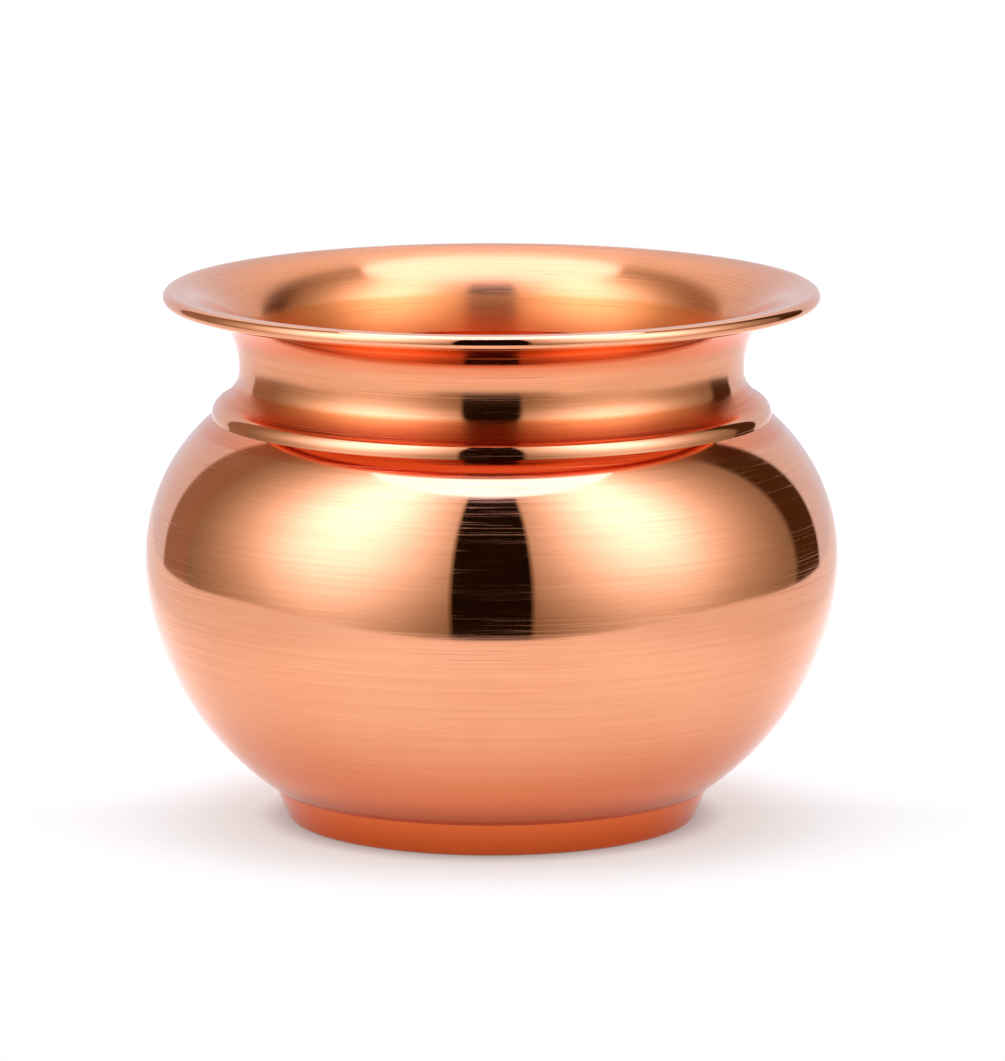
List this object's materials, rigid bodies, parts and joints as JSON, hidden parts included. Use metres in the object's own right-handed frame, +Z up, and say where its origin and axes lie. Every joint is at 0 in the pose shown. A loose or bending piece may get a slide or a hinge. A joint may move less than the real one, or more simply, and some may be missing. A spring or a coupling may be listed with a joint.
{
  "type": "copper kalash",
  "caption": "Squat round copper water pot with a bulging belly, ringed narrow neck, wide flared mouth with a rolled wired rim, and a tapered foot, for holding water and offerings.",
  "frame": {"origin": "centre of the foot's standing face, on the table", "axes": "+Z up along the pot's axis; X and Y are alike, because the pot is turned"},
  "size_m": [0.1, 0.1, 0.077],
  "materials": {
    "copper_sheet": "spun copper sheet, polished and finely brushed round the pot",
    "copper_wire": "drawn copper wire",
    "braze": "brass brazing alloy, as run"
  },
  "bodies": {
    "root": {"lower_bowl": "copper_sheet", "shoulder_shell": "copper_sheet", "mouth_neck": "copper_sheet", "foot_ring": "copper_sheet", "rim_wire": "copper_wire", "belly_braze": "braze", "neck_braze": "braze", "foot_braze": "braze"}
  },
  "joints": []
}
